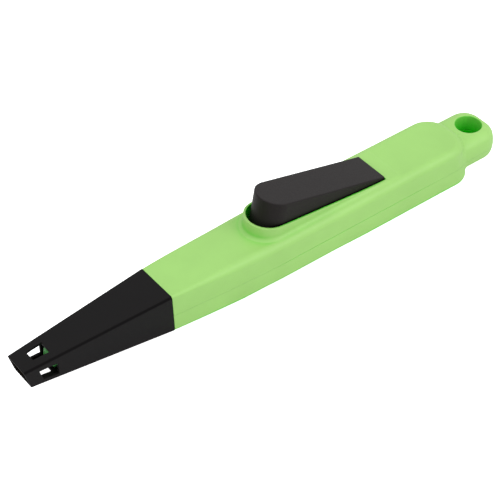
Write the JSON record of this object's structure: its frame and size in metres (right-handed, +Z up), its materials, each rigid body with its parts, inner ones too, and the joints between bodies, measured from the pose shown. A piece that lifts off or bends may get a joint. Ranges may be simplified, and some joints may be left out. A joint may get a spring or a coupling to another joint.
{
  "type": "piezo gas stove lighter",
  "caption": "Hand-held piezo spark lighter with a two-shell grip, a tapered vented nozzle, a hinged thumb lever and a hanging lug.",
  "frame": {"origin": "centre of the bounding box in X and Y, on the flat underside of the grip", "axes": "+X from the nozzle's mouth towards the hanging lug, +Z up through the thumb lever's top"},
  "size_m": [0.2529, 0.0284, 0.039],
  "materials": {
    "green_plastic": "satin moulded lime-green ABS",
    "black_plastic": "satin moulded black plastic",
    "steel": "zinc-plated",
    "spring_steel": "bright drawn wire",
    "brass": "stamped strip",
    "copper": "bare copper conductor",
    "wire_jacket": "red silicone insulation",
    "white_plastic": "natural acetal",
    "grey_plastic": "grey insulating plastic",
    "piezo_ceramic": "sintered ceramic"
  },
  "bodies": {
    "case": {"nozzle": "black_plastic", "upper_shell": "green_plastic", "lower_shell": "green_plastic", "hinge_pin": "steel", "case_screws": "steel", "electrode_holder": "green_plastic", "electrode_pin": "steel", "spark_ring": "brass", "ground_strip": "brass", "ground_contact": "brass", "hv_wire_jacket": "wire_jacket", "hv_wire_core": "copper", "hv_terminal": "brass", "igniter_base": "grey_plastic", "igniter_housing": "white_plastic", "piezo_sleeve": "grey_plastic", "contact_pad": "brass", "piezo_element": "piezo_ceramic", "anvil": "steel", "hammer_spring": "spring_steel", "return_spring": "spring_steel"},
    "lever": {"thumb_lever": "black_plastic"},
    "plunger": {"plunger": "white_plastic"},
    "hammer": {"hammer": "steel", "hammer_pin": "steel"}
  },
  "joints": [
    {"name": "lever_pivot", "type": "hinge", "parent": "case", "child": "lever", "pos_m": [0.0538, 0, 0.017], "axis": [0, -1, 0], "range_deg": [0, 9], "stiffness_Nm_per_rad": 0.05, "springref_deg": -17.19},
    {"name": "plunger_slide", "type": "slide", "parent": "case", "child": "plunger", "axis": [0, 0, -1], "range_m": [0, 0.0049], "deforming": ["hammer_spring", "return_spring"]},
    {"name": "hammer_strike", "type": "slide", "parent": "case", "child": "hammer", "axis": [0, 0, -1], "range_m": [0, 0.0022]}
  ],
  "couplings": [
    {"joint": "plunger_slide", "follows": "lever_pivot", "m_per_rad": 0.031}
  ]
}
